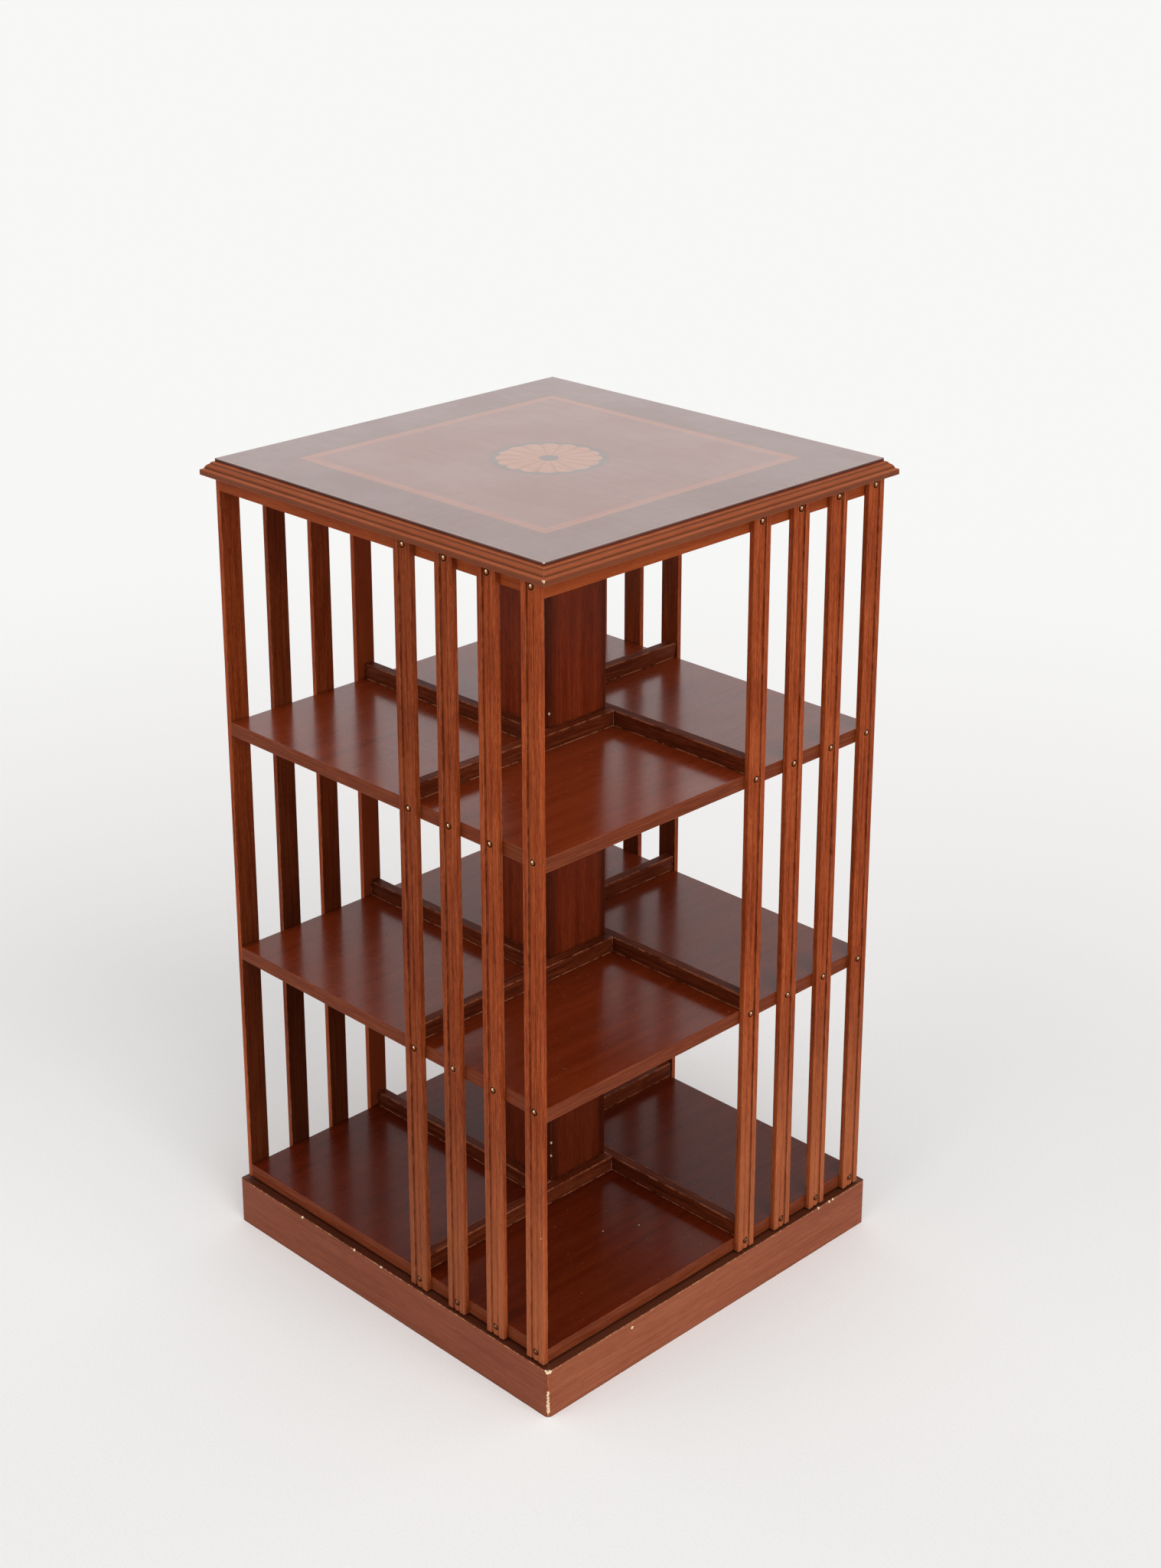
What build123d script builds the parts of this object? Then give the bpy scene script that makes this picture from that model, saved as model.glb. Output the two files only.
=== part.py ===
from build123d import *
import math
import os

# Three-tier revolving bookcase. Millimetres, +Z up, origin on the floor under the middle
# of the plinth. The case turns about Z on a thrust ball race and a steel spindle that
# stand on the plinth. Its four sides are alike, each a quarter turn from the next.

# Case
top_height = 835.0
shelf_side = 445.0
shelf_thickness = 14.2
under_top_thickness = 16.2
lower_tier_clear = 238.9
middle_tier_clear = 231.5
board_easing = 0.8

# Top board and the mould along its edges: step, ledge, hollow, swell, cove and square nib
top_thickness = 16.6
field_overhang = 2.2
mould_step = 3.0
ledge_width = 2.9
ledge_drop = 0.9
hollow_width = 1.7
hollow_drop = 1.9
hollow_bow = 0.35
swell_width = 3.0
swell_drop = 4.0
swell_bow = 0.55
cove_width = 3.1
cove_drop = 1.0
cove_bow = 0.4
nib_easing = 0.8
top_screw_diameter = 4.0
top_screw_head_diameter = 8.0
top_screw_head_height = 2.4
top_screw_cover = 6.5
top_screw_inset = 55.0

# Veneers let into the top
veneer_thickness = 1.0
border_width = 56.5
band_width = 11.0
patera_radius = 58.0
patera_rim = 7.0
petal_tip_height = 4.5
patera_eye_radius = 9.7
petal_count = 16

# Central column, a hollow box of four mitred boards
column_side = 77.5
column_wall = 8.0
column_easing = 1.0

# Book stops on the three shelves
stop_thickness = 11.0
stop_height = 16.0

# Moulded slats and their domed pins
slats_per_side = 4
slat_width = 22.8
slat_thickness = 5.8
slat_easing = 0.6
first_slat_centre = 47.9
quirk_width = 1.1
quirk_depth = 1.5
bead_width = 8.0
bead_sink = 0.3
pin_head_diameter = 6.8
pin_head_height = 1.5
pin_seat_diameter = 7.4
pin_seat_depth = 1.8
pin_shank_diameter = 3.0
pin_grip = 16.5
pin_rise = 1.5

# Plinth
plinth_height = 50.0
plinth_overhang = 9.5
rail_thickness = 18.0
rail_corner_radius = 5.0
rail_easing = 1.5
deck_thickness = 18.0
corner_block_side = 40.0
corner_block_floor_gap = 5.5
turning_gap = 1.5

# Spindle and its guides
spindle_diameter = 20.0
spindle_chamfer = 2.0
spindle_headroom = 2.0
spindle_hole_clearance = 2.0
flange_reach = 38.0
flange_thickness = 6.0
flange_screw_diameter = 5.0
flange_screw_head_diameter = 9.0
flange_screw_head_height = 2.6
flange_screw_cover = 10.0
flange_screw_inset = 12.0
flange_screw_count = 4
guide_block_height = 30.0
guide_block_gap = 6.0
bush_wall = 3.0
bush_rim_width = 4.0
bush_rim_thickness = 2.0
running_clearance = 0.05

# Thrust ball race
race_bore_clearance = 10.0
race_width = 10.0
race_height = 13.0
ball_diameter = 6.35
ball_count = 18
ball_clearance = 0.06
groove_depth = 1.5
cage_side_gap = 0.5
cage_edge_gap = 1.0

# How far a cutting tool runs past the face that it opens
overcut = 1.0

# Heights
case_bottom = plinth_height + turning_gap
bottom_shelf_top = case_bottom + shelf_thickness
lower_shelf_bottom = bottom_shelf_top + lower_tier_clear
upper_shelf_bottom = lower_shelf_bottom + shelf_thickness + middle_tier_clear
top_bottom = top_height - top_thickness
under_top_bottom = top_bottom - under_top_thickness
veneer_bottom = top_height - veneer_thickness
deck_bottom = plinth_height - deck_thickness
flange_bottom = deck_bottom - flange_thickness

# Half widths from the turning axis
shelf_half = shelf_side / 2
field_half = shelf_half + field_overhang
band_half = field_half - border_width
plinth_half = shelf_half + plinth_overhang
column_half = column_side / 2
column_bore_half = column_half - column_wall

# Slats and pins
slat_pitch = (shelf_half - slat_width / 2 - first_slat_centre) / (slats_per_side - 1)
slat_centres = [first_slat_centre + slat_pitch * count for count in range(slats_per_side)]
pin_seat_y = -shelf_half - slat_thickness + pin_seat_depth
pin_shank_length = slat_thickness - pin_seat_depth + pin_grip

# Race and guides
race_bore = spindle_diameter + 2 * race_bore_clearance
race_outside = race_bore + 2 * race_width
race_middle = plinth_height + turning_gap / 2
race_recess = (race_height - turning_gap) / 2
race_split = ball_diameter - 2 * groove_depth
ball_circle_radius = (race_bore + race_width) / 2
bush_bore = spindle_diameter + 2 * running_clearance
bush_outside = bush_bore + 2 * bush_wall
guide_block_bottoms = [bottom_shelf_top, under_top_bottom - guide_block_gap - guide_block_height]

shelf_bottoms = {"bottom": case_bottom, "lower": lower_shelf_bottom, "upper": upper_shelf_bottom}
side_turns = {"front": 0, "right": 90, "back": 180, "left": 270}
shelf_pin_height = shelf_thickness / 2 + pin_rise
top_pin_height = under_top_thickness / 2 + pin_rise
pin_levels = [bottom + shelf_pin_height for bottom in shelf_bottoms.values()]
pin_levels.append(under_top_bottom + top_pin_height)

os.makedirs("parts", exist_ok=True)


def save(shape, node):
    """Write one node's solids to parts/."""
    export_step(shape, f"parts/{node}.step")


def turned(shape, degrees):
    """The same shape a part turn about the turning axis."""
    return Rot(0, 0, degrees) * shape


def on_each_side(shape):
    """The shape repeated on the four sides."""
    return [turned(shape, turn) for turn in side_turns.values()]


def block(x0, x1, y0, y1, z0, z1):
    """A box between two opposite corners."""
    return Pos((x0 + x1) / 2, (y0 + y1) / 2, (z0 + z1) / 2) * Box(x1 - x0, y1 - y0, z1 - z0)


def square_board(half, bottom, thickness):
    """A square board centred on the turning axis."""
    return block(-half, half, -half, half, bottom, bottom + thickness)


def eased_board(half, bottom, thickness):
    """A square board with the arrises of its two faces softened."""
    board = square_board(half, bottom, thickness)
    return fillet(board.edges().filter_by(Axis.Z, reverse=True), board_easing)


def rod(diameter, bottom, top, x=0.0, y=0.0):
    """An upright round bar or, when cut away, a drilled hole."""
    return Pos(x, y, (bottom + top) / 2) * Cylinder(diameter / 2, top - bottom)


def mitred_side(half, wall, bottom, top):
    """The front side of a square box whose sides meet in mitres at the corners."""
    inner = half - wall
    outline = Polyline((-half, -half), (half, -half), (inner, -inner), (-inner, -inner), close=True)
    return Pos(0, 0, bottom) * extrude(make_face(outline), top - bottom)


def rounded_post(half, radius, bottom, top):
    """A square post with rounded upright corners."""
    post = square_board(half, bottom, top - bottom)
    return fillet(post.edges().filter_by(Axis.Z), radius)


def quarter_places(inset):
    """One plan place in each quarter, equally far in from both middle lines."""
    return [(sx * inset, sy * inset) for sx in (1, -1) for sy in (1, -1)]


def ring_places(radius, count, first_angle=0.0):
    """Evenly spaced plan places on a circle round the turning axis."""
    angles = [math.radians(first_angle + 360 * number / count) for number in range(count)]
    return [(radius * math.cos(angle), radius * math.sin(angle)) for angle in angles]


def domed_screw(head_diameter, head_height, shank_diameter, shank_length):
    """A dome-headed pin or screw standing head up, with the underside of its head at zero."""
    head_radius = head_diameter / 2
    shank_radius = shank_diameter / 2
    section = make_face([
        Line((0, -shank_length), (shank_radius, -shank_length)),
        Line((shank_radius, -shank_length), (shank_radius, 0)),
        Line((shank_radius, 0), (head_radius, 0)),
        TangentArc((0, head_height), (head_radius, 0), tangent=(1, 0)),
        Line((0, head_height), (0, -shank_length)),
    ])
    return revolve(Plane.XZ * section, Axis.Z)


def front_hole(diameter, x, z, outer_y, inner_y):
    """A round hole drilled into the front side."""
    drill = Rot(90, 0, 0) * Cylinder(diameter / 2, inner_y - outer_y)
    return Pos(x, (outer_y + inner_y) / 2, z) * drill


def pin_holes(level):
    """The pin holes in the four edges of one board."""
    tip_y = pin_seat_y + pin_shank_length
    holes = [front_hole(pin_shank_diameter, x, level, -shelf_half - overcut, tip_y) for x in slat_centres]
    return [hole for front in holes for hole in on_each_side(front)]


def slat_section():
    """Plan section of a slat: flat back on the shelf edges, sunk round bead between quirks."""
    half = slat_width / 2
    bead = bead_width / 2
    quirk = bead + quirk_width
    shoulder = -slat_thickness
    floor = shoulder + quirk_depth
    section = make_face([
        Line((-half, 0), (half, 0)),
        Line((half, 0), (half, shoulder)),
        Line((half, shoulder), (quirk, shoulder)),
        Line((quirk, shoulder), (quirk, floor)),
        Line((quirk, floor), (bead, floor)),
        ThreePointArc((bead, floor), (0, shoulder + bead_sink), (-bead, floor)),
        Line((-bead, floor), (-quirk, floor)),
        Line((-quirk, floor), (-quirk, shoulder)),
        Line((-quirk, shoulder), (-half, shoulder)),
        Line((-half, shoulder), (-half, 0)),
    ])
    outer_corners = section.vertices().filter_by(lambda corner: abs(corner.X) > quirk and corner.Y < floor)
    return fillet(outer_corners, slat_easing)


def slat(x):
    """One front slat with its four pin holes and the shallow seats of the pin heads."""
    length = top_bottom - case_bottom
    bar = Pos(x, -shelf_half, case_bottom) * extrude(slat_section(), length, dir=(0, 0, 1))
    outside_y = -shelf_half - slat_thickness - overcut
    for level in pin_levels:
        bar -= front_hole(pin_shank_diameter, x, level, outside_y, -shelf_half + overcut)
        bar -= front_hole(pin_seat_diameter, x, level, outside_y, pin_seat_y)
    return bar


def build_slats():
    for side, turn in side_turns.items():
        for number, x in enumerate(slat_centres, start=1):
            save(turned(slat(x), turn), f"slat_{side}_{number}")


def build_slat_pins():
    pin = domed_screw(pin_head_diameter, pin_head_height, pin_shank_diameter, pin_shank_length)
    places = [Pos(x, pin_seat_y, level) for x in slat_centres for level in pin_levels]
    front_pins = [place * Rot(90, 0, 0) * pin for place in places]
    save(Compound([one for front in front_pins for one in on_each_side(front)]), "slat_pins")


def build_shelves():
    for shelf, bottom in shelf_bottoms.items():
        top = bottom + shelf_thickness
        board = eased_board(shelf_half, bottom, shelf_thickness) - pin_holes(bottom + shelf_pin_height)
        if shelf == "bottom":
            board -= rod(race_outside, bottom - overcut, bottom + race_recess)
            board -= rod(spindle_diameter + 2 * spindle_hole_clearance, bottom, top + overcut)
        else:
            board -= square_board(column_half, bottom - overcut, shelf_thickness + 2 * overcut)
        save(board, f"{shelf}_shelf")


def build_book_stops():
    for shelf, bottom in shelf_bottoms.items():
        foot = bottom + shelf_thickness
        outside = column_half + stop_thickness
        stop = block(column_half, outside, -shelf_half, column_half, foot, foot + stop_height)
        stop = fillet(stop.edges().filter_by(Axis.Y).group_by(Axis.Z)[-1], board_easing)
        for side, turn in side_turns.items():
            save(turned(stop, turn), f"stop_{shelf}_{side}")


def build_column():
    board = mitred_side(column_half, column_wall, bottom_shelf_top, under_top_bottom)
    board &= rounded_post(column_half, column_easing, bottom_shelf_top, under_top_bottom)
    for side, turn in side_turns.items():
        save(turned(board, turn), f"column_{side}")


def top_screw(x, y):
    """One screw up through the under-top into the top board."""
    head_top = under_top_bottom + top_screw_head_height
    head = rod(top_screw_head_diameter, under_top_bottom, head_top, x, y)
    return head + rod(top_screw_diameter, head_top, veneer_bottom - top_screw_cover, x, y)


def build_top():
    under_top = eased_board(shelf_half, under_top_bottom, under_top_thickness)
    under_top -= pin_holes(under_top_bottom + top_pin_height)
    top_board = square_board(field_half, top_bottom, top_thickness - veneer_thickness)
    screws = [top_screw(x, y) for x, y in quarter_places(shelf_half - top_screw_inset)]
    for screw in screws:
        under_top -= screw
        top_board -= screw
    save(under_top, "under_top")
    save(top_board, "top_board")
    save(Compound(screws), "top_screws")


def mould_section():
    """Section of the edge mould: its place out from the top board's edge, and its height."""
    step = top_height - mould_step
    ledge = (ledge_width, step - ledge_drop)
    ridge = (ledge[0] + hollow_width, ledge[1] - hollow_drop)
    trough = (ridge[0] + swell_width, ridge[1] - swell_drop)
    nib = (trough[0] + cove_width, trough[1] - cove_drop)
    section = make_face([
        Line((0, top_bottom), (0, step)),
        Line((0, step), ledge),
        SagittaArc(ledge, ridge, -hollow_bow),
        SagittaArc(ridge, trough, swell_bow),
        SagittaArc(trough, nib, -cove_bow),
        Line(nib, (nib[0], top_bottom)),
        Line((nib[0], top_bottom), (0, top_bottom)),
    ])
    return fillet(section.vertices().group_by(Axis.X)[-1], nib_easing)


def build_mouldings():
    """Four lengths of edge mould, mitred at the corners of the top."""
    width = ledge_width + hollow_width + swell_width + cove_width
    outer_half = field_half + width
    along_x = Plane(origin=(0, -field_half, 0), x_dir=(0, -1, 0), z_dir=(-1, 0, 0))
    length = extrude(along_x * mould_section(), outer_half, both=True)
    length &= mitred_side(outer_half, width, top_bottom, top_height)
    save(Compound(on_each_side(length)), "top_mouldings")


def build_veneers():
    """Border, band and field of the top, all let in flush with its face."""
    border = mitred_side(field_half, border_width, veneer_bottom, top_height)
    band = mitred_side(band_half, band_width, veneer_bottom, top_height)
    field = square_board(band_half - band_width, veneer_bottom, veneer_thickness)
    field -= rod(2 * patera_radius, veneer_bottom - overcut, top_height + overcut)
    save(Compound(on_each_side(border)), "border_veneer")
    save(Compound(on_each_side(band)), "band_inlay")
    save(field, "field_veneer")


def petal():
    """One petal of the patera, pointing along +X, between the eye and its rounded tip."""
    half_turn = math.radians(180 / petal_count)
    tip_radius = patera_radius - patera_rim
    shoulder_radius = tip_radius - petal_tip_height
    edge = [(math.cos(angle), math.sin(angle)) for angle in (-half_turn, half_turn)]
    inner = [(patera_eye_radius * x, patera_eye_radius * y) for x, y in edge]
    outer = [(shoulder_radius * x, shoulder_radius * y) for x, y in edge]
    outline = make_face([
        Line(inner[0], outer[0]),
        ThreePointArc(outer[0], (tip_radius, 0), outer[1]),
        Line(outer[1], inner[1]),
        ThreePointArc(inner[1], (patera_eye_radius, 0), inner[0]),
    ])
    return Pos(0, 0, veneer_bottom) * extrude(outline, veneer_thickness)


def build_patera():
    petals = [turned(petal(), 360 / petal_count * number) for number in range(petal_count)]
    eye = rod(2 * patera_eye_radius, veneer_bottom, top_height)
    ground = rod(2 * patera_radius, veneer_bottom, top_height) - eye - petals
    save(Compound(petals), "patera_petals")
    save(eye, "patera_eye")
    save(ground, "patera_ground")


def build_plinth():
    rail = mitred_side(plinth_half, rail_thickness, 0, plinth_height)
    top_edges = rail.edges().filter_by(Axis.X).group_by(Axis.Z)[-1]
    rail = fillet(top_edges.sort_by(Axis.Y)[0], rail_easing)
    rail &= rounded_post(plinth_half, rail_corner_radius, 0, plinth_height)
    for side, turn in side_turns.items():
        save(turned(rail, turn), f"plinth_{side}")


def flange_screw_places():
    radius = spindle_diameter / 2 + flange_reach - flange_screw_inset
    return ring_places(radius, flange_screw_count, first_angle=45)


def build_deck():
    half = plinth_half - rail_thickness
    screw_tip = plinth_height - flange_screw_cover
    deck = square_board(half, deck_bottom, deck_thickness)
    deck -= rod(race_outside, plinth_height - race_recess, plinth_height + overcut)
    deck -= rod(spindle_diameter, deck_bottom - overcut, plinth_height)
    for x, y in flange_screw_places():
        deck -= rod(flange_screw_diameter, deck_bottom - overcut, screw_tip, x, y)
    save(deck, "plinth_deck")
    inner = half - corner_block_side
    corner = block(inner, half, inner, half, corner_block_floor_gap, deck_bottom)
    save(Compound(on_each_side(corner)), "corner_blocks")


def build_spindle():
    spindle_top = under_top_bottom - spindle_headroom
    bar = rod(spindle_diameter, flange_bottom, spindle_top)
    bar = chamfer(bar.edges().group_by(Axis.Z)[-1], spindle_chamfer)
    flange = rod(spindle_diameter + 2 * flange_reach, flange_bottom, deck_bottom)
    for x, y in flange_screw_places():
        flange -= rod(flange_screw_diameter, flange_bottom - overcut, deck_bottom + overcut, x, y)
    save(bar + flange, "spindle")
    length = plinth_height - flange_screw_cover - flange_bottom
    screw = Rot(180, 0, 0) * domed_screw(
        flange_screw_head_diameter, flange_screw_head_height, flange_screw_diameter, length
    )
    save(Compound([Pos(x, y, flange_bottom) * screw for x, y in flange_screw_places()]), "flange_screws")


def build_guides():
    """A block with a flanged bush at each end of the column, for the spindle to turn in."""
    blocks = []
    bushes = []
    for bottom in guide_block_bottoms:
        top = bottom + guide_block_height
        rim_top = top + bush_rim_thickness
        block_bore = rod(bush_outside, bottom - overcut, top + overcut)
        blocks.append(square_board(column_bore_half, bottom, guide_block_height) - block_bore)
        bush = rod(bush_outside, bottom, top) + rod(bush_outside + 2 * bush_rim_width, top, rim_top)
        bushes.append(bush - rod(bush_bore, bottom - overcut, rim_top + overcut))
    save(Compound(blocks), "guide_blocks")
    save(Compound(bushes), "guide_bushes")


def race_disc(near, far):
    """One grooved disc of the thrust race, between its groove side and its seat."""
    disc = rod(race_outside, min(near, far), max(near, far))
    disc -= rod(race_bore, min(near, far) - overcut, max(near, far) + overcut)
    return disc - Pos(0, 0, race_middle) * Torus(ball_circle_radius, ball_diameter / 2 + ball_clearance)


def build_race():
    save(race_disc(race_middle - race_split / 2, race_middle - race_height / 2), "race_lower")
    save(race_disc(race_middle + race_split / 2, race_middle + race_height / 2), "race_upper")
    cage_half = race_split / 2 - cage_side_gap
    cage_bottom = race_middle - cage_half
    cage_top = race_middle + cage_half
    cage = rod(race_outside - 2 * cage_edge_gap, cage_bottom, cage_top)
    cage -= rod(race_bore + 2 * cage_edge_gap, cage_bottom - overcut, cage_top + overcut)
    pocket_diameter = ball_diameter + 2 * ball_clearance
    places = ring_places(ball_circle_radius, ball_count)
    for x, y in places:
        cage -= rod(pocket_diameter, cage_bottom - overcut, cage_top + overcut, x, y)
    save(cage, "ball_cage")
    save(Compound([Pos(x, y, race_middle) * Sphere(ball_diameter / 2) for x, y in places]), "race_balls")


build_slats()
build_slat_pins()
build_shelves()
build_book_stops()
build_column()
build_top()
build_mouldings()
build_veneers()
build_patera()
build_plinth()
build_deck()
build_spindle()
build_guides()
build_race()
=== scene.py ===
import math

import bpy
from mathutils import Matrix, Vector


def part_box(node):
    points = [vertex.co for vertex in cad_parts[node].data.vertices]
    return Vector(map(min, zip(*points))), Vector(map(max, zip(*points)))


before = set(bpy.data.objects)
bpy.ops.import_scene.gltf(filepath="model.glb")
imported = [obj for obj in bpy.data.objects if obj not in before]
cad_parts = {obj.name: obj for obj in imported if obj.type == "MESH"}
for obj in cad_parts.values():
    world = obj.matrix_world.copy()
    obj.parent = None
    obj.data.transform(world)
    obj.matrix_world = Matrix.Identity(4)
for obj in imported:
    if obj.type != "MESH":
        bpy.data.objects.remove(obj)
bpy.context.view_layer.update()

# Photograph and camera: the lens and the place of the camera were fitted to the straight
# edges of the piece. Pixels are those of the 1517 x 2048 frame.
PHOTO_WIDTH = 1517
PHOTO_HEIGHT = 2048
FOCAL_PIXELS = 3249.4
OPTICAL_CENTRE = (717.7, 742.6)
SENSOR_WIDTH = 36.0
CAMERA_AZIMUTH = math.radians(45.803)
CAMERA_ELEVATION = math.radians(18.414)
CAMERA_ROLL = math.radians(-0.257)
CAMERA_TARGET = Vector((0, 0, 0.72425))
CAMERA_DISTANCE = 2.39672
CAMERA_REACH = 100

# Sizes of the piece that its finish follows, in metres
SHELF_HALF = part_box("upper_shelf")[1].x
FIELD_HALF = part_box("top_board")[1].x
MOULD_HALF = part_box("top_mouldings")[1].x
PLINTH_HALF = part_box("plinth_right")[1].x
PLINTH_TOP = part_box("plinth_right")[1].z
COLUMN_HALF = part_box("column_right")[1].x
TOP_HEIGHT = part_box("field_veneer")[1].z
MOULD_DEPTH = TOP_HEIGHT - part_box("top_mouldings")[0].z
BOTTOM_SHELF_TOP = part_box("bottom_shelf")[1].z

# The slats of a side, by the middles of the first and the last, and a slat's section
SLATS = 4
SLAT_FIRST = 0.0479
SLAT_LAST = SHELF_HALF - 0.0114
SLAT_PITCH = (SLAT_LAST - SLAT_FIRST) / (SLATS - 1)
SLAT_SHOULDER = 0.003
QUIRK_PLACE = 0.00455
QUIRK_HALF = 0.0007

# The pins' heads, the patera and the rounded corners of the plinth
PIN_LEVELS = (0.0601, 0.3132, 0.5589, 0.8118)
PIN_REACH = 0.008
# Sizes of the painted dark reflection round each pin head's rim and the painted highlight on its
# crown
PIN_CROWN_RADIUS = 0.0016
PIN_RIM_RADIUS = 0.0025
PIN_HIGHLIGHT_PLACE = (0, 0.0009, 0)
PETALS = 16
RING_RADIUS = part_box("patera_ground")[1].x
RAIL_CORNER_RADIUS = 0.005
CORNER_SWELL = RAIL_CORNER_RADIUS * (2 - math.sqrt(2))

# A place this near to a face counts as on it, in metres
SKIN = 0.0002

# Marks in the timber, in metres
PORE_WIDTH = 0.0005
PORE_LENGTH = 0.005
# How far into corners the painted shade reaches
CORNER_SHADE_DEPTH = 0.004

# How many times longer than wide the figure and the fibres are
FIGURE_STRETCH = 30
FIBRE_STRETCH = 16

# How far apart the grain of two mitred sides is taken from, in metres
MITRE_SHIFT = 7.0

# Fineness of the uneven parts of a finish, in waves to the metre
TONE_WAVES = 6.0
SMUDGE_WAVES = 14.0
WEAR_WAVES = 60.0
SCUFF_WAVES = 240.0
RIPPLE_WAVES = 260.0
BARE_WAVES = 420.0
WEAVE_WAVES = 500.0
DUST_WAVES = 520.0
CHIP_WAVES = 700.0
TARNISH_WAVES = 900.0
BRUSHED_WAVES = 2500.0

SIDES = ("front", "right", "back", "left")
SHELVES = ("bottom", "lower", "upper")

# Painted light and shade in lines along the mould: how far down it, as a share of its depth, and
# how bright
MOULD_LIGHT_AND_SHADE = (
    (0.17, 0.6), (0.21, 1.35), (0.25, 1.25), (0.275, 0.4), (0.32, 0.8),
    (0.40, 1.2), (0.46, 0.95), (0.55, 0.5), (0.59, 0.55), (0.615, 1.35),
    (0.66, 1.2), (0.70, 0.7), (0.94, 0.62), (1.0, 1.15),
)

# Chips and specks seen in the photo, in metres
COLUMN_CHIPS = [(COLUMN_HALF, -COLUMN_HALF, z) for z in (0.5952, 0.1258, 0.1106)]
TOP_CHIPS = [(FIELD_HALF, -FIELD_HALF, TOP_HEIGHT)]
MOULD_CHIPS = [(MOULD_HALF, -MOULD_HALF, 0.8242)]
PLINTH_CHIPS = [(x, -PLINTH_HALF, PLINTH_TOP) for x in (-0.1281, -0.0463, -0.0050)]
PLINTH_CHIPS += [(PLINTH_HALF, y, PLINTH_TOP) for y in (0.1566, 0.1737, 0.1798)]
PLINTH_CHIPS += [(PLINTH_HALF, -0.1198, 0.0434)]
SLAT_CHIPS = [(0.2201, -0.2283, 0.1864), (0.2282, -0.2283, 0.1383)]
SHELF_SPECKS = [(0.1404, -0.0149, BOTTOM_SHELF_TOP), (0.1226, -0.0483, BOTTOM_SHELF_TOP)]

# The bare front corner of the plinth: a thin line low down, and its top, in metres
BARE_LINE_LEVEL = 0.016
BARE_LINE_HALF = 0.010
BARE_TOP_LEVEL = 0.0466

FLOOR_RADIUS = 30
SUN_ANGLE = math.radians(55)


def srgb(red, green, blue):
    """A shader's linear colour, from display values between 0 and 255."""
    def linear(value):
        value /= 255
        return value / 12.92 if value <= 0.04045 else ((value + 0.055) / 1.055) ** 2.4
    return (linear(red), linear(green), linear(blue), 1.0)


CREAM = srgb(238, 214, 176)
# The dark brown painted as shade in corners, quirks, on inner faces and low on the column
PAINTED_SHADE = srgb(34, 12, 7)
# Painted reflection of the floor, low on the outer faces of the slats
FLOOR_REFLECTION = srgb(178, 118, 82)
PALE_SLAT = srgb(158, 70, 36)
# Painted shade on the square edge of the border
BORDER_EDGE_SHADE = srgb(84, 34, 20)
FADED_RING = srgb(128, 72, 54)
SCORCHED = srgb(132, 66, 36)
WORN_ARRIS = srgb(206, 152, 112)
# Painted dark reflection and painted highlight on the pin heads
PIN_DARK_REFLECTION = srgb(46, 22, 12)
PIN_HIGHLIGHT = srgb(255, 240, 214)
PIN_TARNISH = srgb(88, 46, 24)
# The cloth near the piece is painted lighter, painted light over the shadows it casts
PAINTED_LIGHT_NEAR_CLOTH = srgb(251, 251, 250)
MIDWAY_CLOTH = srgb(241, 240, 239)
FAR_CLOTH = srgb(247, 247, 246)


def grey(level):
    """A linear colour of even brightness, above 1 to lighten what it multiplies."""
    return (level, level, level, 1.0)


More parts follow.
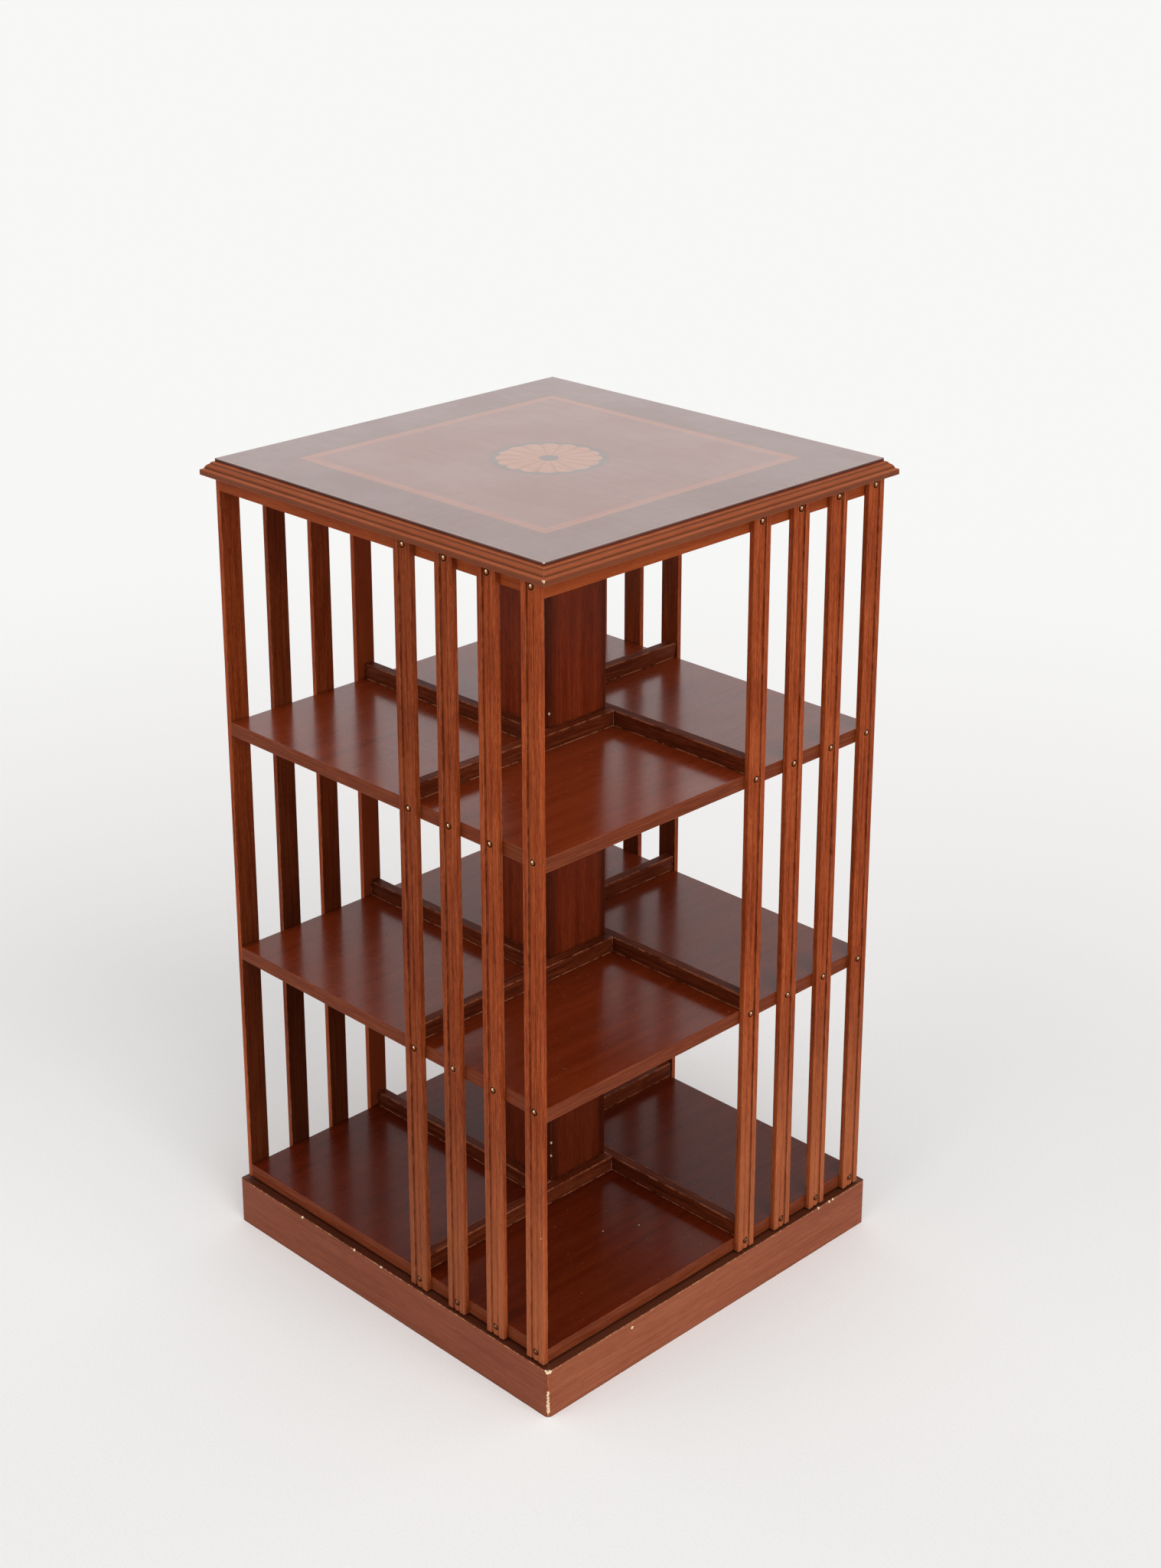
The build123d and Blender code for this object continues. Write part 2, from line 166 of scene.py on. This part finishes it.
class Graph:
    """A node tree, with one short call for each kind of node."""

    def __init__(self, tree):
        self.tree = tree

    def node(self, kind, inputs, **settings):
        made = self.tree.nodes.new(kind)
        for key, value in settings.items():
            setattr(made, key, value)
        for key, value in inputs.items():
            self.feed(made.inputs[key], value)
        return made

    def feed(self, socket, value):
        """Links a node's output to a socket, or sets the socket to a plain value."""
        if isinstance(value, bpy.types.NodeSocket):
            self.tree.links.new(value, socket)
        else:
            socket.default_value = value

    def place(self, quarter_turns=0):
        """Object coordinates, turned so that the given side of the case lies at the front."""
        place = self.node("ShaderNodeTexCoord", {}).outputs["Object"]
        if quarter_turns == 0:
            return place
        angle = math.radians(-90 * quarter_turns)
        inputs = {"Vector": place, "Angle": angle}
        return self.node("ShaderNodeVectorRotate", inputs, rotation_type="Z_AXIS").outputs[0]

    def mitred(self, place):
        """Coordinates that run along each of four mitred sides, and then across it."""
        x, y, z = self.axes(place)
        on_end = self.math("GREATER_THAN", self.math("ABSOLUTE", x), self.math("ABSOLUTE", y))
        other_wood = self.math("ADD", x, MITRE_SHIFT)
        swapped = self.node("ShaderNodeCombineXYZ", {0: y, 1: other_wood, 2: z}).outputs[0]
        return self.blend(on_end, place, swapped)

    def axes(self, vector):
        split = self.node("ShaderNodeSeparateXYZ", {0: vector})
        return split.outputs[0], split.outputs[1], split.outputs[2]

    def math(self, operation, first, second=0.0):
        return self.node("ShaderNodeMath", {0: first, 1: second}, operation=operation).outputs[0]

    def sum(self, *parts):
        """Total of values, each given with its share."""
        total = 0.0
        for value, share in parts:
            total = self.math("ADD", self.math("MULTIPLY", value, share), total)
        return total

    def noise(self, vector, scale, detail=2.0, roughness=0.5, distortion=0.0):
        inputs = {"Vector": vector, "Scale": scale, "Detail": detail}
        inputs.update({"Roughness": roughness, "Distortion": distortion})
        return self.node("ShaderNodeTexNoise", inputs).outputs["Fac"]

    def streaks(self, vector, grain, across, along, detail=2.0, distortion=0.0):
        """Noise drawn out along the grain axis, its two sizes in metres."""
        factors = tuple(1 / along if axis == grain else 1 / across for axis in range(3))
        scaled = self.node("ShaderNodeVectorMath", {0: vector, 1: factors}, operation="MULTIPLY")
        return self.noise(scaled.outputs[0], 1.0, detail=detail, distortion=distortion)

    def step(self, value, low, high, to_low=0.0, to_high=1.0):
        """A smooth change from one value to another between two places."""
        inputs = {"Value": value, "From Min": low, "From Max": high}
        inputs.update({"To Min": to_low, "To Max": to_high})
        return self.node("ShaderNodeMapRange", inputs, interpolation_type="SMOOTHSTEP").outputs[0]

    def slope(self, value, low, high, to_low, to_high):
        """A straight change from one value to another between two places."""
        inputs = {"Value": value, "From Min": low, "From Max": high}
        inputs.update({"To Min": to_low, "To Max": to_high})
        return self.node("ShaderNodeMapRange", inputs).outputs[0]

    def near(self, value, middle, half, soft):
        """1 within half of the middle value, fading to 0 over the soft width."""
        away = self.math("ABSOLUTE", self.math("SUBTRACT", value, middle))
        return self.step(away, half, half + soft, 1.0, 0.0)

    def blend(self, factor, first, second, kind="MIX"):
        """The first colour where the factor is 0, going over to the second where it is 1."""
        mixer = self.node("ShaderNodeMix", {}, data_type="RGBA", blend_type=kind)
        self.feed(mixer.inputs[0], factor)
        self.feed(mixer.inputs[6], first)
        self.feed(mixer.inputs[7], second)
        return mixer.outputs[2]

    def ramp(self, value, stops):
        """Colours between the given stops, each a value with its colour."""
        ramp = self.node("ShaderNodeValToRGB", {0: value})
        elements = ramp.color_ramp.elements
        while len(elements) < len(stops):
            elements.new(0.5)
        for element, (position, colour) in zip(elements, stops):
            element.position = position
            element.color = colour
        return ramp.outputs[0]

    def length(self, vector):
        return self.node("ShaderNodeVectorMath", {0: vector}, operation="LENGTH").outputs["Value"]

    def distance(self, first, second):
        inputs = {0: first, 1: second}
        return self.node("ShaderNodeVectorMath", inputs, operation="DISTANCE").outputs["Value"]

    def outward(self, place):
        """How far a place lies from the turning axis, measured squarely to the nearest side."""
        x, y = self.axes(place)[:2]
        return self.math("MAXIMUM", self.math("ABSOLUTE", x), self.math("ABSOLUTE", y))

    def edge(self, radius):
        """1 on arrises and 0 on flats, from how far a rounded normal leans off the true one."""
        rounded = self.node("ShaderNodeBevel", {"Radius": radius}, samples=6).outputs[0]
        true = self.node("ShaderNodeNewGeometry", {}).outputs["True Normal"]
        dot = self.node("ShaderNodeVectorMath", {0: rounded, 1: true}, operation="DOT_PRODUCT")
        return self.step(self.math("SUBTRACT", 1.0, dot.outputs["Value"]), 0.008, 0.08)

    def facing_up(self):
        """1 on faces that look up and 0 on the rest."""
        true = self.node("ShaderNodeNewGeometry", {}).outputs["True Normal"]
        return self.step(self.axes(true)[2], 0.5, 0.9)

    def crevice(self, distance):
        """1 deep in corners and 0 in the open."""
        occlusion = self.node("ShaderNodeAmbientOcclusion", {"Distance": distance}, samples=6)
        return self.step(occlusion.outputs["AO"], 0.35, 0.85, 1.0, 0.0)

    def spots(self, place, points, radius):
        """1 at the given places, with torn outlines."""
        uneven = self.noise(place, CHIP_WAVES, detail=3, roughness=0.7)
        torn = self.math("MULTIPLY", uneven, radius * 2.4)
        nearest = 1.0
        for point in points:
            nearest = self.math("MINIMUM", nearest, self.distance(place, point))
        return self.step(self.math("ADD", nearest, torn), radius * 1.9, radius * 2.1, 1.0, 0.0)

    def bump(self, height, distance, strength):
        inputs = {"Height": height, "Distance": distance, "Strength": strength}
        return self.node("ShaderNodeBump", inputs).outputs[0]


class Finish(Graph):
    """The node tree of a new material."""

    def __init__(self, name):
        self.material = bpy.data.materials.new(name)
        self.material.use_nodes = True
        super().__init__(self.material.node_tree)
        self.shader = self.tree.nodes["Principled BSDF"]


def wood(name, grain, tones, turn=0, mitred=False, contrast=1.0, figure=0.006, fibre=0.0011,
         pores=0.5, gloss=0.3, specular=0.12, coat=0.0, coat_gloss=0.12, coat_up_only=False,
         wear=0.5, wear_width=0.0012, wear_colour=None, corner_shade=0.6, extra=None):
    """Polished timber, with its grain along one axis, worn arrises and painted shade in its
    corners.

    Figure, fibre and wear_width are sizes in metres. Pores, coat, wear and corner_shade are shares
    of the full effect, and coat_up_only keeps the coat to the faces that look up. Extra adds the
    marks of one kind of piece, and its painted light and shade, to the colour.
    """
    g = Finish(name)
    real = g.place(turn)
    place = g.mitred(real) if mitred else real
    dark, mid, light = (srgb(*tone) for tone in tones)
    tone = g.noise(place, TONE_WAVES, detail=3)
    bands = g.streaks(place, grain, figure, figure * FIGURE_STRETCH, detail=3, distortion=0.4)
    fibres = g.streaks(place, grain, fibre, fibre * FIBRE_STRETCH, detail=3)
    mixed = g.sum((tone, 0.25), (bands, 0.4), (fibres, 0.35))
    stops = [(0.5 - 0.13 / contrast, dark), (0.5, mid), (0.5 + 0.15 / contrast, light)]
    colour = g.ramp(mixed, stops)
    pits = g.step(g.streaks(place, grain, PORE_WIDTH, PORE_LENGTH, detail=1), 0.56, 0.7)
    colour = g.blend(g.math("MULTIPLY", pits, pores), colour, dark)
    if extra:
        colour = extra(g, real, colour)

    # Painted shade deep in corners and creases, found by ambient occlusion
    shade_in_corners = g.math("MULTIPLY", g.crevice(CORNER_SHADE_DEPTH), corner_shade)
    colour = g.blend(shade_in_corners, colour, PAINTED_SHADE)
    patches = g.step(g.noise(real, WEAR_WAVES, detail=4, roughness=0.7), 0.38, 0.66)
    worn = g.math("MULTIPLY", g.math("MULTIPLY", g.edge(wear_width), patches), wear)
    colour = g.blend(worn, colour, srgb(*wear_colour) if wear_colour else light)
    g.feed(g.shader.inputs["Base Color"], colour)

    smudges = g.noise(real, SMUDGE_WAVES, detail=4, roughness=0.6)
    rough = g.sum((g.step(smudges, 0.3, 0.7, gloss, gloss + 0.1), 1.0), (worn, 0.2))
    g.feed(g.shader.inputs["Roughness"], rough)
    g.shader.inputs["Specular IOR Level"].default_value = specular
    coat_weight = g.math("MULTIPLY", g.facing_up(), coat) if coat_up_only else coat
    g.feed(g.shader.inputs["Coat Weight"], coat_weight)
    g.shader.inputs["Coat Roughness"].default_value = coat_gloss

    ripple = g.noise(real, RIPPLE_WAVES, detail=1)
    height = g.sum((fibres, 0.4), (pits, -1.0), (ripple, 0.6))
    g.feed(g.shader.inputs["Normal"], g.bump(height, 0.00012, 0.5))
    return g.material


def metal(name, colour, rough, spots, extra=None):
    """Bare metal with a little tarnish."""
    g = Finish(name)
    place = g.place()
    tarnish = g.noise(place, TARNISH_WAVES, detail=3)
    colour = g.blend(g.step(tarnish, 0.35, 0.75), colour, spots)
    if extra:
        colour = extra(g, place, colour)
    g.feed(g.shader.inputs["Base Color"], colour)
    g.feed(g.shader.inputs["Roughness"], g.step(tarnish, 0.3, 0.8, rough, rough + 0.15))
    g.shader.inputs["Metallic"].default_value = 1.0
    g.feed(g.shader.inputs["Normal"], g.bump(g.noise(place, BRUSHED_WAVES), 0.00003, 0.3))
    return g.material


def paint(node, material):
    """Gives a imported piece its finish."""
    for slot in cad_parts[node].material_slots:
        slot.material = material


def off_slat(g, along):
    """How far a place along a side lies from the middle of the nearest slat."""
    number = g.math("DIVIDE", g.math("SUBTRACT", along, SLAT_FIRST), SLAT_PITCH)
    return g.math("MULTIPLY", g.math("SUBTRACT", number, g.math("ROUND", number)), SLAT_PITCH)


def slat_details(g, place, colour):
    """Painted shade in the quirks beside each bead and on the inner faces, deeper low down, and a
    painted reflection of the floor near the foot.
    """
    x, y, z = g.axes(place)
    off = g.math("ABSOLUTE", off_slat(g, x))
    outside = g.math("LESS_THAN", y, -SHELF_HALF - SLAT_SHOULDER)
    # Painted shade in the quirks, where the bead shades them
    quirk_shade = g.math("MULTIPLY", g.near(off, QUIRK_PLACE, QUIRK_HALF, 0.0003), outside)
    colour = g.blend(g.math("MULTIPLY", quirk_shade, 0.1), colour, PAINTED_SHADE)
    # Painted shade on the inner faces, deeper low down
    inner = g.step(y, -SHELF_HALF - 2 * SKIN, -SHELF_HALF - SKIN / 2)
    inner_shade = g.math("MULTIPLY", inner, g.step(z, 0.25, 0.6, 0.75, 0.28))
    colour = g.blend(inner_shade, colour, PAINTED_SHADE)
    # Painted reflection of the pale floor, lightening the outer faces low down
    foot_reflection = g.math("MULTIPLY", g.step(z, 0.08, 0.36, 0.26, 0.0), outside)
    return g.blend(foot_reflection, colour, FLOOR_REFLECTION)


def front_slat_details(g, place, colour):
    """Painted shade darkens the front slats towards the middle of the side, and the last one has
    two chips.
    """
    x = g.axes(place)[0]
    colour = slat_details(g, place, colour)
    # Painted shade, deeper towards the middle of the side
    colour = g.blend(g.step(x, 0.05, 0.21, 0.3, 0.0), colour, PAINTED_SHADE)
    return g.blend(g.spots(place, SLAT_CHIPS, 0.0008), colour, CREAM)


def left_slat_details(g, place, colour):
    """On the left side the first slat is paler and the third one darker."""
    x = g.axes(place)[0]
    colour = slat_details(g, place, colour)
    first = g.near(x, SLAT_FIRST, SLAT_PITCH / 4, 0.001)
    third = g.near(x, SLAT_FIRST + 2 * SLAT_PITCH, SLAT_PITCH / 4, 0.001)
    colour = g.blend(g.math("MULTIPLY", first, 0.5), colour, PALE_SLAT)
    return g.blend(g.math("MULTIPLY", third, 0.36), colour, PAINTED_SHADE)


def finish_slats():
    tones = ((100, 37, 14), (148, 63, 27), (180, 92, 48))
    details_of = {"front": front_slat_details, "left": left_slat_details}
    for turn, side in enumerate(SIDES):
        details = details_of.get(side, slat_details)
        slat = wood(f"slat_wood_{side}", 2, tones, turn=turn, figure=0.002, fibre=0.0005,
                    pores=0.6, gloss=0.34, specular=0.04, corner_shade=0.4, wear=0.7,
                    wear_colour=(196, 116, 76), extra=details)
        for number in range(1, SLATS + 1):
            paint(f"slat_{side}_{number}", slat)


def shelf_edges(g, place, colour):
    """The open edges of a shelf, lighter than its faces, with dust and specks on its top."""
    tones = (srgb(90, 36, 15), srgb(112, 50, 26), srgb(136, 70, 40))
    along = g.streaks(g.mitred(place), 0, 0.001, 0.03, detail=3)
    edge = g.ramp(along, list(zip((0.2, 0.5, 0.8), tones)))
    on_edge = g.step(g.outward(place), SHELF_HALF - 2 * SKIN, SHELF_HALF - SKIN)
    colour = g.blend(on_edge, colour, edge)
    grains = g.step(g.noise(place, DUST_WAVES, detail=1), 0.76, 0.79, 0.0, 0.3)
    dust = g.math("MULTIPLY", grains, g.facing_up())
    specks = g.spots(place, SHELF_SPECKS, 0.0008)
    return g.blend(g.math("MAXIMUM", dust, specks), colour, CREAM)


def column_details(g, place, colour):
    """Painted shade towards the bottom and the corners, with chips on the front corner."""
    x, y, z = g.axes(place)
    colour = g.blend(g.step(z, 0.1, 0.55, 0.38, 0.0), colour, PAINTED_SHADE)
    sideways = g.math("MINIMUM", g.math("ABSOLUTE", x), g.math("ABSOLUTE", y))
    column_corner_shade = g.step(sideways, COLUMN_HALF - 0.015, COLUMN_HALF - 2 * SKIN, 0.0, 0.6)
    colour = g.blend(column_corner_shade, colour, PAINTED_SHADE)
    return g.blend(g.spots(place, COLUMN_CHIPS, 0.0017), colour, CREAM)


def finish_shelves():
    # The lower shelves have darker tones, painted shade from the shelves above, and a thinner coat
    shelf_shade_levels = {
        "upper": (((96, 32, 10), (126, 48, 18), (148, 66, 32)), 0.8),
        "lower": (((86, 27, 8), (112, 40, 13), (132, 54, 24)), 0.5),
        "bottom": (((66, 19, 5), (90, 28, 8), (110, 41, 16)), 0.22),
    }
    for shelf, (tones, coat) in shelf_shade_levels.items():
        board = wood(f"shelf_wood_shaded_{shelf}", 1, tones, contrast=0.6, figure=0.01, pores=0.25,
                     gloss=0.24, specular=0.05, coat=coat, coat_gloss=0.18, coat_up_only=True,
                     wear=0.7, wear_colour=(186, 110, 76), extra=shelf_edges)
        paint(f"{shelf}_shelf", board)


def finish_stops():
    tones = ((62, 22, 10), (94, 38, 18), (124, 60, 34))
    for axis, sides in ((1, ("front", "back")), (0, ("right", "left"))):
        stop = wood(f"stop_wood_{axis}", axis, tones, figure=0.003, gloss=0.34, specular=0.04,
                    wear=2.0, wear_width=0.0022, wear_colour=(196, 122, 86), corner_shade=0.8)
        for side in sides:
            for shelf in SHELVES:
                paint(f"stop_{shelf}_{side}", stop)


def finish_column():
    tones = ((80, 26, 11), (124, 46, 20), (150, 66, 34))
    column = wood("column_wood", 2, tones, contrast=0.7, pores=0.7, gloss=0.3, specular=0.06,
                  wear=0.35, extra=column_details)
    for side in SIDES:
        paint(f"column_{side}", column)


def finish_top_boards():
    apron_tones = ((110, 42, 15), (147, 65, 27), (170, 86, 42))
    apron = wood("apron_wood", 0, apron_tones, mitred=True, contrast=0.6, gloss=0.3,
                 specular=0.04)
    paint("under_top", apron)
    riser_tones = ((66, 24, 13), (88, 36, 20), (108, 50, 30))
    paint("top_board", wood("riser_wood", 0, riser_tones, mitred=True))


def mould_details(g, place, colour):
    """Painted shade in the hollows of the mould and on its square edge, painted highlights on its
    ridges, and a chip.
    """
    z = g.axes(place)[2]
    depth = g.math("DIVIDE", g.math("SUBTRACT", TOP_HEIGHT, z), MOULD_DEPTH)
    painted_light_and_shade = g.ramp(depth, [(share, grey(level)) for share, level in MOULD_LIGHT_AND_SHADE])
    colour = g.blend(1.0, colour, painted_light_and_shade, "MULTIPLY")
    return g.blend(g.spots(place, MOULD_CHIPS, 0.0021), colour, CREAM)


def finish_mould():
    tones = ((106, 48, 24), (140, 71, 40), (164, 94, 58))
    mould = wood("mould_wood", 0, tones, mitred=True, contrast=0.35, pores=0.25, gloss=0.3,
                 specular=0.08, wear=0.6, wear_colour=(190, 112, 76), extra=mould_details)
    paint("top_mouldings", mould)


def border_details(g, place, colour):
    """Painted shade on the square edge of the border, a painted highlight along its arris, and a
    chip at the front corner.
    """
    out = g.outward(place)
    # Painted highlight along the arris of the border
    arris_highlight = g.near(out, FIELD_HALF - 0.001, 2 * SKIN, 2 * SKIN)
    colour = g.blend(g.math("MULTIPLY", arris_highlight, 0.15), colour, CREAM)
    on_edge = g.step(out, FIELD_HALF - 2 * SKIN, FIELD_HALF - SKIN)
    colour = g.blend(on_edge, colour, BORDER_EDGE_SHADE)
    return g.blend(g.spots(place, TOP_CHIPS, 0.0016), colour, CREAM)


def petal_shading(g, place, colour):
    """Each petal of the patera scorched darker towards one side."""
    x, y = g.axes(place)[:2]
    turns = g.math("MULTIPLY", g.math("ARCTAN2", y, x), PETALS / (2 * math.pi))
    across = g.math("SUBTRACT", turns, g.math("ROUND", turns))
    return g.blend(g.step(across, 0.05, 0.5, 0.0, 0.5), colour, SCORCHED)


def ring_fading(g, place, colour):
    """The green stain of the patera's ring, faded unevenly from its outer edge."""
    x, y = g.axes(place)[:2]
    flat = g.node("ShaderNodeCombineXYZ", {0: x, 1: y}).outputs[0]
    uneven = g.math("MULTIPLY", g.noise(place, WEAR_WAVES, detail=3), 0.003)
    reach = g.math("ADD", g.length(flat), uneven)
    faded = g.step(reach, RING_RADIUS - 0.0012, RING_RADIUS + 0.0004)
    return g.blend(faded, colour, FADED_RING)


def finish_top():
    """The veneers, all under the same high polish."""
    def veneer(name, grain, *tones, mitred=False, extra=None):
        return wood(name, grain, tones, mitred=mitred, extra=extra, contrast=0.45, pores=0.3,
                    gloss=0.28, specular=0.5, coat=0.85, coat_gloss=0.18)

    field = veneer("field_wood", 0, (116, 66, 48), (132, 78, 60), (148, 94, 74))
    border = veneer("border_wood", 1, (92, 50, 36), (110, 62, 46), (128, 78, 60),
                    mitred=True, extra=border_details)
    band = veneer("band_wood", 0, (138, 76, 50), (154, 88, 59), (170, 106, 74), mitred=True)
    petal = veneer("petal_wood", 0, (154, 96, 64), (176, 114, 80), (194, 136, 102),
                   extra=petal_shading)
    ground = veneer("patera_wood", 0, (86, 64, 56), (104, 80, 70), (120, 94, 84),
                    extra=ring_fading)
    paint("field_veneer", field)
    paint("border_veneer", border)
    paint("band_inlay", band)
    paint("patera_petals", petal)
    paint("patera_ground", ground)
    paint("patera_eye", ground)


def plinth_details(g, place, colour):
    """Painted shade on the ledge along the top of the plinth, its arris worn pale, chips along it
    and a bare front corner.
    """
    z = g.axes(place)[2]
    ledge_shade = g.step(z, PLINTH_TOP - 0.0005, PLINTH_TOP - 0.0001, 0.0, 0.72)
    colour = g.blend(ledge_shade, colour, PAINTED_SHADE)
    on_top = g.near(z, PLINTH_TOP, 0.0006, 0.0004)
    on_side = g.near(g.outward(place), PLINTH_HALF, 0.0008, 0.0004)
    scuffs = g.noise(place, SCUFF_WAVES, detail=4, roughness=0.8)
    worn = g.math("MULTIPLY", on_top, on_side)
    worn = g.math("MULTIPLY", worn, g.step(scuffs, 0.46, 0.62, 0.05, 0.6))
    colour = g.blend(worn, colour, WORN_ARRIS)
    colour = g.blend(g.spots(place, PLINTH_CHIPS, 0.0019), colour, CREAM)
    return g.blend(bare_corner(g, place), colour, CREAM)


def bare_corner(g, place):
    """1 where the front corner of the plinth is rubbed bare, with a torn outline."""
    x, y, z = g.axes(place)
    corner = g.math("ADD", g.math("SUBTRACT", PLINTH_HALF, x), g.math("ADD", PLINTH_HALF, y))
    inward = g.math("SUBTRACT", corner, CORNER_SWELL)
    low = g.near(z, BARE_LINE_LEVEL, BARE_LINE_HALF, 0.004)
    high = g.step(z, BARE_TOP_LEVEL, BARE_TOP_LEVEL + 0.003)
    width = g.sum((high, 0.003), (low, 0.0003))
    torn = g.noise(place, BARE_WAVES, detail=3, roughness=0.7)
    width = g.math("MULTIPLY", width, g.step(torn, 0.35, 0.65, 0.2, 1.6))
    return g.step(g.math("SUBTRACT", width, inward), 0.0, 0.0001)


def finish_plinth():
    rails = (
        (("front", "back"), ((98, 42, 24), (130, 65, 40), (152, 86, 60))),
        (("right", "left"), ((112, 50, 30), (144, 76, 48), (166, 98, 68))),
    )
    for axis, (sides, tones) in enumerate(rails):
        rail = wood(f"plinth_wood_{axis}", axis, tones, contrast=0.55, figure=0.004, gloss=0.3,
                    specular=0.1, wear=0.7, wear_colour=(208, 160, 122), extra=plinth_details)
        for side in sides:
            paint(f"plinth_{side}", rail)


def finish_inside():
    """The bare wood that carries the case and the spindle."""
    bare = wood("bare_wood", 0, ((128, 88, 56), (164, 122, 84), (188, 150, 110)), gloss=0.6)
    for node in ("plinth_deck", "corner_blocks", "guide_blocks"):
        paint(node, bare)


def pin_details(g, place, colour):
    """A painted highlight on each pin head's crown, a painted dark reflection round its rim, and
    dull pins at the foot.
    """
    z = g.axes(place)[2]
    along = g.axes(g.mitred(place))[0]
    off = off_slat(g, g.math("ABSOLUTE", along))
    rise = 0.0
    for level in PIN_LEVELS:
        here = g.near(z, level, PIN_REACH, 0.001)
        rise = g.math("ADD", rise, g.math("MULTIPLY", here, g.math("SUBTRACT", z, level)))
    flat = g.node("ShaderNodeCombineXYZ", {0: off, 1: rise}).outputs[0]
    dark_reflection = g.step(g.length(flat), PIN_CROWN_RADIUS, PIN_RIM_RADIUS)
    colour = g.blend(dark_reflection, colour, PIN_DARK_REFLECTION)
    highlight = g.step(g.distance(flat, PIN_HIGHLIGHT_PLACE), 0.0005, 0.0013, 1.0, 0.0)
    colour = g.blend(highlight, colour, PIN_HIGHLIGHT)
    return g.blend(g.step(z, 0.08, 0.12, 0.8, 0.0), colour, PIN_TARNISH)


def finish_metal():
    pins = metal("pin_brass", srgb(196, 112, 50), 0.14, srgb(84, 46, 22), extra=pin_details)
    brass = metal("brass", srgb(206, 156, 84), 0.2, srgb(112, 70, 34))
    steel = metal("steel", srgb(176, 176, 178), 0.25, srgb(120, 118, 116))
    paint("slat_pins", pins)
    for node in ("guide_bushes", "ball_cage"):
        paint(node, brass)
    for node in ("spindle", "flange_screws", "top_screws"):
        paint(node, steel)
    for node in ("race_lower", "race_upper", "race_balls"):
        paint(node, steel)


def build_floor():
    bpy.ops.mesh.primitive_circle_add(
        vertices=128, radius=FLOOR_RADIUS, fill_type="NGON", location=(0, 0, 0))
    floor = bpy.context.object
    floor.name = "floor"
    g = Finish("floor_cloth")
    place = g.place()
    away = g.length(place)
    # Painted light: the cloth is lighter near the piece, over its shadows, dimmer midway and pale
    # again far off
    cloth = g.blend(g.step(away, 0.2, 0.9), PAINTED_LIGHT_NEAR_CLOTH, MIDWAY_CLOTH)
    cloth = g.blend(g.step(away, 1.0, 2.5), cloth, FAR_CLOTH)
    weave = g.step(g.noise(place, WEAVE_WAVES), 0.2, 0.8, 0.97, 1.03)
    tint = g.node("ShaderNodeCombineColor", {0: weave, 1: weave, 2: weave}).outputs[0]
    g.feed(g.shader.inputs["Base Color"], g.blend(1.0, cloth, tint, "MULTIPLY"))
    g.shader.inputs["Roughness"].default_value = 0.9
    g.shader.inputs["Specular IOR Level"].default_value = 0.1
    floor.data.materials.append(g.material)


def build_sun(name, direction, strength):
    sun = bpy.data.lights.new(name, "SUN")
    sun.energy = strength * math.pi
    sun.angle = SUN_ANGLE
    lamp = bpy.data.objects.new(name, sun)
    lamp.rotation_euler = Vector(direction).to_track_quat("Z", "Y").to_euler()
    bpy.context.scene.collection.objects.link(lamp)


def build_light():
    """A pale room, brighter overhead, with a soft light at the right and a weak one at the left."""
    world = bpy.data.worlds.new("studio")
    bpy.context.scene.world = world
    world.use_nodes = True
    g = Graph(world.node_tree)
    upward = g.axes(g.node("ShaderNodeTexCoord", {}).outputs["Generated"])[2]
    ray = g.node("ShaderNodeLightPath", {}).outputs
    matt = g.slope(upward, 0.0, 1.0, 0.25, 0.85)
    glossy = g.slope(upward, 0.08, 0.2, 0.6, 1.05)
    lit = g.slope(ray["Is Glossy Ray"], 0.0, 1.0, matt, glossy)
    seen = g.slope(ray["Is Camera Ray"], 0.0, 1.0, lit, 0.93)
    background = g.tree.nodes["Background"]
    background.inputs["Color"].default_value = (1, 1, 1, 1)
    g.feed(background.inputs["Strength"], seen)
    build_sun("right_light", direction=(1.0, -0.2, 0.7), strength=0.45)
    build_sun("left_light", direction=(-0.2, -1.0, 0.7), strength=0.18)


def build_camera():
    data = bpy.data.cameras.new("camera")
    data.sensor_width = SENSOR_WIDTH
    data.lens = FOCAL_PIXELS * SENSOR_WIDTH / PHOTO_HEIGHT
    data.shift_x = (PHOTO_WIDTH / 2 - OPTICAL_CENTRE[0]) / PHOTO_HEIGHT
    data.shift_y = -(PHOTO_HEIGHT / 2 - OPTICAL_CENTRE[1]) / PHOTO_HEIGHT
    data.clip_end = CAMERA_REACH
    camera = bpy.data.objects.new("camera", data)
    along = math.cos(CAMERA_AZIMUTH)
    across = math.sin(CAMERA_AZIMUTH)
    level = math.cos(CAMERA_ELEVATION)
    back = Vector((level * across, -level * along, math.sin(CAMERA_ELEVATION)))
    right = Vector((along, across, 0))
    up = back.cross(right)
    turn = Matrix((right, up, back)).transposed() @ Matrix.Rotation(CAMERA_ROLL, 3, "Z")
    camera.matrix_world = Matrix.Translation(CAMERA_TARGET + back * CAMERA_DISTANCE) @ turn.to_4x4()
    bpy.context.scene.collection.objects.link(camera)
    bpy.context.scene.camera = camera


bpy.context.scene.view_settings.view_transform = "Standard"
finish_slats()
finish_shelves()
finish_stops()
finish_column()
finish_top_boards()
finish_mould()
finish_top()
finish_plinth()
finish_inside()
finish_metal()
build_floor()
build_light()
build_camera()
